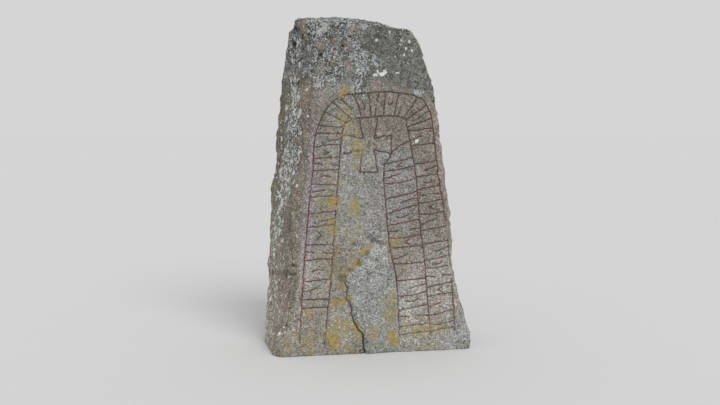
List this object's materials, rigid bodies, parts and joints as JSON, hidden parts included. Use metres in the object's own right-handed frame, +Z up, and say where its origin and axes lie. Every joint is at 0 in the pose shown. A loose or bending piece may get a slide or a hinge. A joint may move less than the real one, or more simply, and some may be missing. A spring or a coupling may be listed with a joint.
{
  "type": "rune stone",
  "caption": "Standing stone slab, cut off flat at the ground, its face carved with a band that arches over a cross and is filled with rows of plain strokes.",
  "frame": {"origin": "middle of the outline's box on the flat underside, where the stone meets the ground", "axes": "+Z up the stone, +X to the right of a viewer who faces the carved side, -Y out of the carved side"},
  "size_m": [1.2394, 0.4692, 1.9801],
  "materials": {
    "granite": "weathered grey-brown granite with lichen and old red paint in the carving"
  },
  "bodies": {
    "root": {"rune_stone": "granite"}
  },
  "joints": []
}
